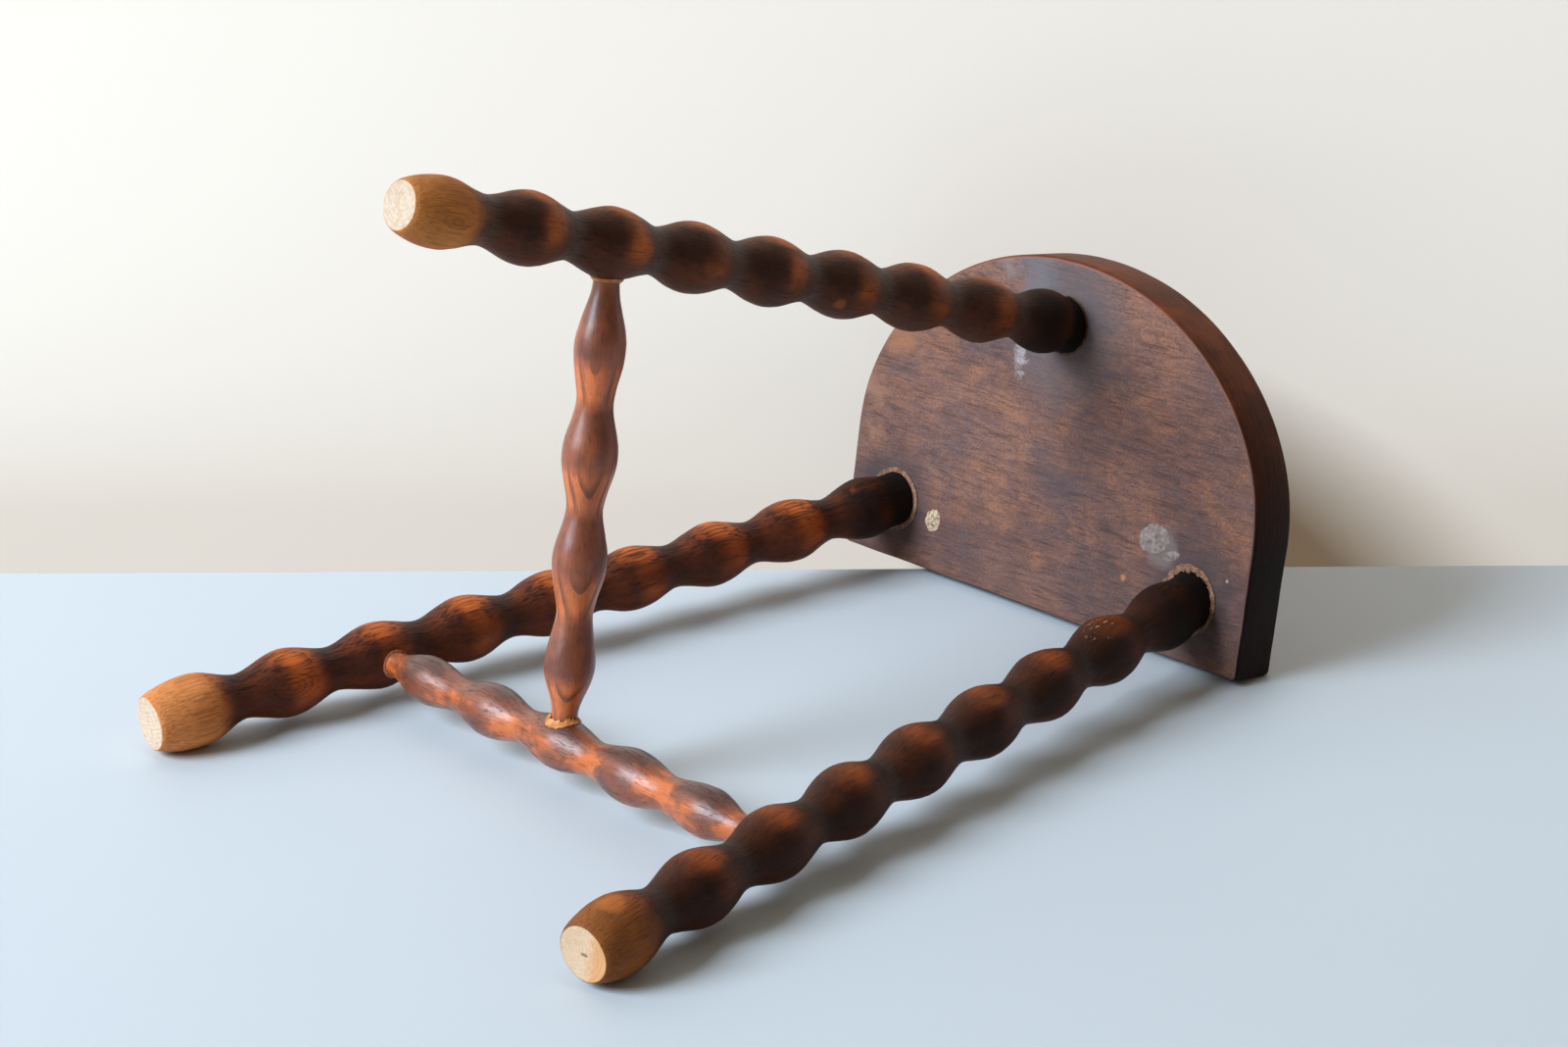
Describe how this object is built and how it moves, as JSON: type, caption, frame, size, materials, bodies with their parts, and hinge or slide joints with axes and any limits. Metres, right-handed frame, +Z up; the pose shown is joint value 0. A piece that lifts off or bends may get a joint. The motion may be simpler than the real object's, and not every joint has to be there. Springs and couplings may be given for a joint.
{
  "type": "three-legged stool",
  "caption": "Low wooden stool with a D-shaped board seat, bobbin-turned splayed legs and turned stretchers under it.",
  "frame": {"origin": "on the floor, under the middle of the bounding box, with the stool standing on its three feet", "axes": "+Z up through the seat, +Y towards the straight edge of the seat, +X towards the back right leg as seen from the front leg"},
  "size_m": [0.348, 0.3014, 0.456],
  "materials": {
    "seat_board": "dull brown stain, worn thin and blotchy, over close grain",
    "leg_wood": "dark brown stain and wax, rubbed to orange-brown on the bead crests, bare at the cut feet",
    "back_stretcher_wood": "glossy reddish brown, mottled with rubbed orange patches",
    "centre_stretcher_wood": "satin reddish brown with dark figured grain"
  },
  "bodies": {
    "root": {"seat": "seat_board", "front_leg": "leg_wood", "back_left_leg": "leg_wood", "back_right_leg": "leg_wood", "back_stretcher": "back_stretcher_wood", "centre_stretcher": "centre_stretcher_wood"}
  },
  "joints": []
}
